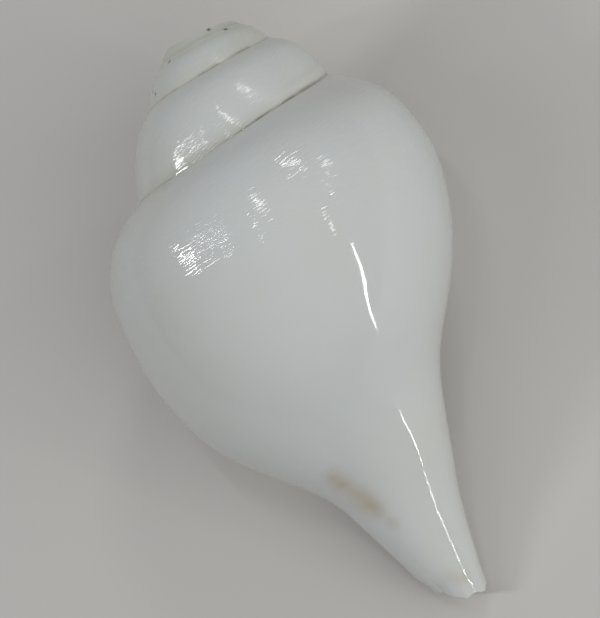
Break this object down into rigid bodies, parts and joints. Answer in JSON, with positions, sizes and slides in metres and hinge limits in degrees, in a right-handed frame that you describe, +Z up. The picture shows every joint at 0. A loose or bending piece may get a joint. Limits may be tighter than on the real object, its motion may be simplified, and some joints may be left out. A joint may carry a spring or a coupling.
{
  "type": "conch shell",
  "caption": "Polished white right-handed chank conch with a ground-off spire, lying on its mouth.",
  "frame": {"origin": "bottom centre of the bounding box, on the surface that the shell lies on", "axes": "+Y along the shell from the canal tip towards the spire, +Z up from the resting surface, +X to the right when the shell is seen from above with the spire away from the viewer"},
  "size_m": [0.0944, 0.157, 0.0837],
  "materials": {
    "shell": "polished"
  },
  "bodies": {
    "root": {"conch_shell": "shell"}
  },
  "joints": []
}
